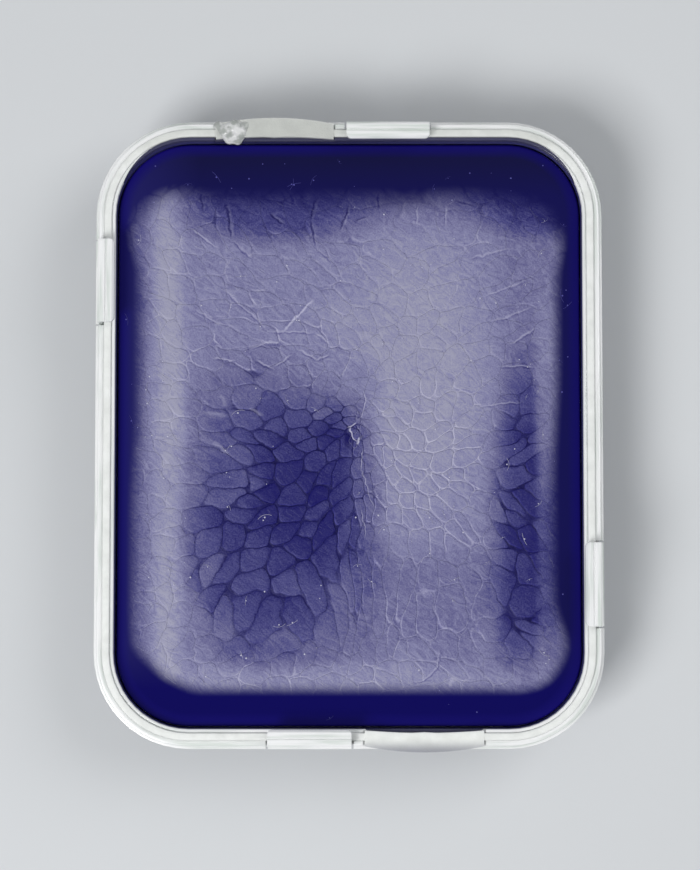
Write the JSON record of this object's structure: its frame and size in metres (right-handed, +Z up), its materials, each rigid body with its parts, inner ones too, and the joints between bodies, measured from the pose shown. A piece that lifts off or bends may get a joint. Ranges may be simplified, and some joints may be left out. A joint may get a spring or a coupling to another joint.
{
  "type": "wet palette",
  "caption": "Pocket wet palette: clear rounded tray with a sealed rim and swing catches, a soaked sponge and a wrinkled palette sheet, standing on its own lid.",
  "frame": {"origin": "on the table, under the middle of the palette", "axes": "+Z up out of the tray's mouth, +Y along the long sides, towards the top of the picture"},
  "size_m": [0.1016, 0.1266, 0.0231],
  "materials": {
    "clear_plastic": "clear polystyrene, slightly milky, scuffed gloss",
    "silicone": "frosted translucent silicone",
    "sponge": "open-cell foam soaked ultramarine",
    "palette_sheet": "wet wrinkled sheet, ultramarine under a lilac-grey haze"
  },
  "bodies": {
    "lid": {"lid": "clear_plastic"},
    "tray": {"tray": "clear_plastic", "rim_seal": "silicone"},
    "catch_east": {"catch_east": "clear_plastic"},
    "catch_north": {"catch_north": "clear_plastic"},
    "catch_west": {"catch_west": "clear_plastic"},
    "catch_south": {"catch_south": "clear_plastic"},
    "sponge": {"reservoir_sponge": "sponge"},
    "sheet": {"palette_sheet": "palette_sheet"}
  },
  "joints": [
    {"name": "tray_lift", "type": "slide", "parent": "lid", "child": "tray", "axis": [0, 0, 1], "range_m": [0, 0.03]},
    {"name": "catch_east_swing", "type": "hinge", "parent": "tray", "child": "catch_east", "pos_m": [0.0495, -0.0302, 0.0154], "axis": [0, 1, 0], "range_deg": [0, 85]},
    {"name": "catch_north_swing", "type": "hinge", "parent": "tray", "child": "catch_north", "pos_m": [0.0078, 0.0615, 0.0154], "axis": [-1, 0, 0], "range_deg": [0, 85]},
    {"name": "catch_west_swing", "type": "hinge", "parent": "tray", "child": "catch_west", "pos_m": [-0.0495, 0.0302, 0.0154], "axis": [0, -1, 0], "range_deg": [0, 85]},
    {"name": "catch_south_swing", "type": "hinge", "parent": "tray", "child": "catch_south", "pos_m": [-0.0078, -0.0615, 0.0154], "axis": [1, 0, 0], "range_deg": [0, 85]},
    {"name": "sponge_lift", "type": "slide", "parent": "tray", "child": "sponge", "axis": [0, 0, 1], "range_m": [0, 0.03]},
    {"name": "sheet_lift", "type": "slide", "parent": "sponge", "child": "sheet", "axis": [0, 0, 1], "range_m": [0, 0.02]}
  ]
}
